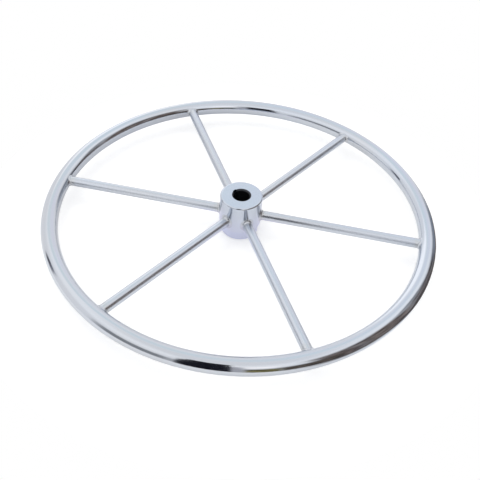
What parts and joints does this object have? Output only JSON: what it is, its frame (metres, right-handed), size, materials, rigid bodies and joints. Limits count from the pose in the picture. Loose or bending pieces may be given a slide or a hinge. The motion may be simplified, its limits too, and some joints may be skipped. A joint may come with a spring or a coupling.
{
  "type": "boat steering wheel",
  "caption": "Boat steering wheel in polished stainless steel: a ring of tube on slim straight spokes, welded to a hub with a keyed bore that slides on the steering shaft.",
  "frame": {"origin": "the wheel's centre: on the bore's axis, in the plane of the rim and the spokes, half way up the hub", "axes": "+Z along the bore, out of the hub's front face, towards the helmsman; +X along spoke_1"},
  "size_m": [0.6099, 0.61, 0.068],
  "materials": {
    "rim": "mirror polished stainless steel tube",
    "spoke": "mirror polished stainless steel",
    "hub": "turned and polished stainless steel",
    "weld": "ground and polished weld metal"
  },
  "bodies": {
    "root": {"rim_tube": "rim", "hub": "hub", "spoke_1": "spoke", "spoke_2": "spoke", "spoke_3": "spoke", "spoke_4": "spoke", "spoke_5": "spoke", "spoke_6": "spoke", "hub_weld_1": "weld", "hub_weld_2": "weld", "hub_weld_3": "weld", "hub_weld_4": "weld", "hub_weld_5": "weld", "hub_weld_6": "weld", "rim_weld_1": "weld", "rim_weld_2": "weld", "rim_weld_3": "weld", "rim_weld_4": "weld", "rim_weld_5": "weld", "rim_weld_6": "weld"}
  },
  "joints": []
}
